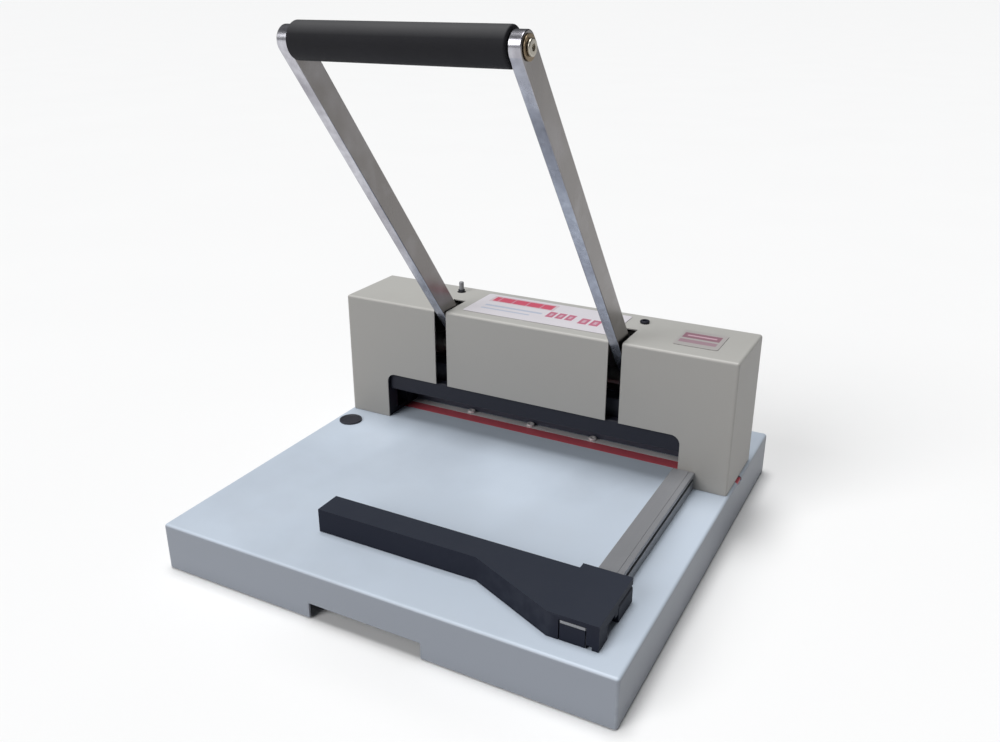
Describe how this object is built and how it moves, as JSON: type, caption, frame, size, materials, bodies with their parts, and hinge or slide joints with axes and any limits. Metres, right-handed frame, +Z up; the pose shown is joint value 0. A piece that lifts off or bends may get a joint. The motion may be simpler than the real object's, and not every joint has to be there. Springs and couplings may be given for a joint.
{
  "type": "stack paper cutter",
  "caption": "Table-top stack paper cutter with a tall U-shaped lever over a box cover, a flat table, a side rail and a sliding paper stop.",
  "frame": {"origin": "bottom centre of the whole object, on the plane the rubber feet stand on", "axes": "+Z up, +X to the operator's right, -Y towards the operator, who stands in front of the table"},
  "size_m": [0.425, 0.4276, 0.4575],
  "materials": {
    "table_paint": "smooth pale blue-grey paint",
    "cover_paint": "smooth warm light grey paint",
    "black_paint": "satin black paint",
    "polished_steel": "polished plate",
    "ground_steel": "ground",
    "zinc_steel": "zinc plated",
    "bronze": "turned, oiled",
    "aluminium": "brushed extrusion",
    "black_foam": "matt closed-cell foam",
    "slate_plastic": "moulded, dark slate",
    "black_rubber": "matt rubber",
    "red_plastic": "dark red nylon",
    "printed_label": "printed film"
  },
  "bodies": {
    "base": {"base_tray": "table_paint", "chassis_tube_left": "zinc_steel", "chassis_tube_right": "zinc_steel", "table_plug": "black_rubber", "bed_beam": "ground_steel", "bed_bar": "ground_steel", "rear_guard": "slate_plastic", "bridge_bar": "ground_steel", "housing_cover": "cover_paint", "rear_panel": "cover_paint", "cover_screw": "black_paint", "label_wide": "printed_label", "label_small": "printed_label", "side_rail": "aluminium", "rail_end_cap": "slate_plastic", "bed_bolt_left": "zinc_steel", "bed_bolt_middle": "zinc_steel", "bed_bolt_right": "zinc_steel", "rubber_foot_front_left": "black_rubber", "rubber_foot_back_left": "black_rubber", "side_frame_left": "black_paint", "frame_bolt_left": "zinc_steel", "pivot_bush_left": "bronze", "rear_screw_left": "zinc_steel", "rubber_foot_front_right": "black_rubber", "rubber_foot_back_right": "black_rubber", "side_frame_right": "black_paint", "frame_bolt_right": "zinc_steel", "pivot_bush_right": "bronze", "rear_screw_right": "zinc_steel"},
    "lever": {"handle_bar": "ground_steel", "handle_grip": "black_foam", "pivot_shaft": "ground_steel", "lock_cam": "ground_steel", "lever_arm_left": "polished_steel", "handle_bolt_left": "zinc_steel", "crank_left": "ground_steel", "lever_arm_right": "polished_steel", "handle_bolt_right": "zinc_steel", "crank_right": "ground_steel"},
    "beam": {"blade_beam": "black_paint", "blade": "ground_steel", "blade_bolt_left": "zinc_steel", "guide_shoe_left": "bronze", "yoke_left": "ground_steel", "clamp_spring_left": "zinc_steel", "blade_bolt_right": "zinc_steel", "guide_shoe_right": "bronze", "yoke_right": "ground_steel", "clamp_spring_right": "zinc_steel"},
    "clamp": {"clamp_bar": "black_paint", "clamp_pin_left": "zinc_steel", "clamp_pin_right": "zinc_steel"},
    "stop": {"paper_stop": "slate_plastic", "stop_lever_pin": "ground_steel"},
    "stop_lever": {"stop_lever": "slate_plastic"},
    "strip": {"cutting_strip": "red_plastic"},
    "lock_pin": {"lock_pin": "zinc_steel"}
  },
  "joints": [
    {"name": "lever_hinge", "type": "hinge", "parent": "base", "child": "lever", "pos_m": [0, 0.11725, 0.12], "axis": [1, 0, 0], "range_deg": [-12.5, 59.5]},
    {"name": "beam_slide", "type": "slide", "parent": "base", "child": "beam", "axis": [0, 0, -1], "range_m": [-0.0072, 0.0343], "deforming": ["clamp_spring_left", "clamp_spring_right"]},
    {"name": "clamp_slide", "type": "slide", "parent": "base", "child": "clamp", "axis": [0, 0, -1], "range_m": [-0.0066, 0.0315]},
    {"name": "stop_slide", "type": "slide", "parent": "base", "child": "stop", "axis": [0, 1, 0], "range_m": [0, 0.185]},
    {"name": "stop_lever_hinge", "type": "hinge", "parent": "stop", "child": "stop_lever", "pos_m": [0.1865, -0.14225, 0.0575], "axis": [0, -1, 0], "range_deg": [0, 35]},
    {"name": "strip_slide", "type": "slide", "parent": "base", "child": "strip", "axis": [1, 0, 0], "range_m": [0, 0.385]},
    {"name": "lock_pin_slide", "type": "slide", "parent": "base", "child": "lock_pin", "axis": [0, 0, 1], "range_m": [-0.01, 0]}
  ],
  "couplings": [
    {"joint": "beam_slide", "follows": "lever_hinge", "m_per_rad": 0.03293},
    {"joint": "clamp_slide", "follows": "lever_hinge", "m_per_rad": 0.03024}
  ]
}
